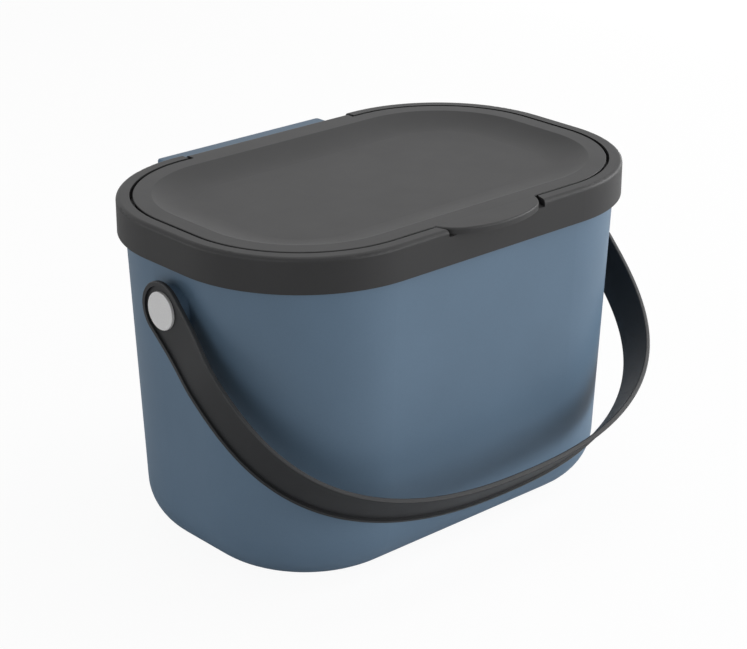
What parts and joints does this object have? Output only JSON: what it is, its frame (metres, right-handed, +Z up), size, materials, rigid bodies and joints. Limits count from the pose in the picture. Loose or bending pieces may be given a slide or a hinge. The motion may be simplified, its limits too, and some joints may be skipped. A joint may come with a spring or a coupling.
{
  "type": "recycling bin",
  "caption": "Small oblong waste caddy with a dished hinged lid in a lift-off rim frame, a rear door hook and a swing handle.",
  "frame": {"origin": "middle of the flat bottom that the bin stands on", "axes": "+X along the long side, -Y to the front with the finger tab, +Z up"},
  "size_m": [0.281, 0.2278, 0.18],
  "materials": {
    "tub_plastic": "fine satin, slate blue",
    "frame_plastic": "fine satin, dark grey",
    "lid_plastic": "fine satin, dark grey",
    "handle_plastic": "satin, near black",
    "pin_plastic": "light grey, soft gloss"
  },
  "bodies": {
    "tub": {"tub": "tub_plastic", "pivot_pin_left": "pin_plastic", "pivot_pin_right": "pin_plastic"},
    "rim_frame": {"rim_frame": "frame_plastic"},
    "lid": {"lid": "lid_plastic"},
    "handle": {"carry_handle": "handle_plastic"}
  },
  "joints": [
    {"name": "frame_lift", "type": "slide", "parent": "tub", "child": "rim_frame", "axis": [0, 0, 1], "range_m": [0, 0.06]},
    {"name": "lid_hinge", "type": "hinge", "parent": "rim_frame", "child": "lid", "pos_m": [0, 0.086, 0.1762], "axis": [-1, 0, 0], "range_deg": [0, 105]},
    {"name": "handle_swing", "type": "hinge", "parent": "tub", "child": "handle", "pos_m": [0, 0, 0.1404], "axis": [-1, 0, 0], "range_deg": [0, 264.6]}
  ]
}
